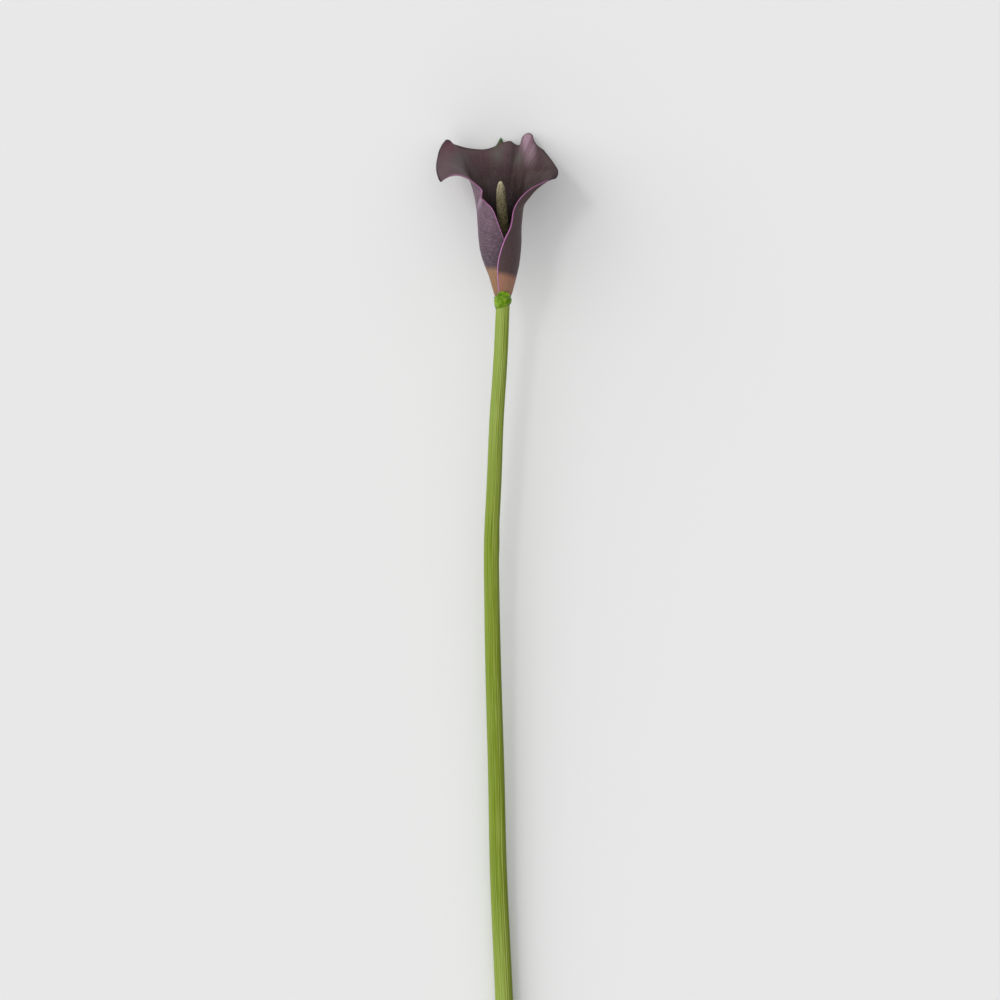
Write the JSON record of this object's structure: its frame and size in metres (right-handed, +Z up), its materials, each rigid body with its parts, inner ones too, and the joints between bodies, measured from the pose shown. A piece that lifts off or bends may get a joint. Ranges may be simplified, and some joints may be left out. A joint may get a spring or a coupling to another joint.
{
  "type": "calla lily flower",
  "caption": "Cut calla lily lying face up: a long fleshy stem, a green collar and a dark purple trumpet-shaped spathe, one edge lapped over the other, around a pale spadix.",
  "frame": {"origin": "on the surface that the flower lies on, under the middle of its bounding box", "axes": "+Y runs from the cut end of the stem to the flower, +Z is up, towards the open front of the trumpet, and +X is to the right seen from above with the flower at the top"},
  "size_m": [0.0736, 0.6404, 0.05],
  "materials": {
    "spathe": "satin",
    "spadix": "matte",
    "collar": "gloss",
    "stem": "satin"
  },
  "bodies": {
    "root": {"spathe": "spathe", "spadix": "spadix", "collar": "collar", "stem": "stem"}
  },
  "joints": []
}
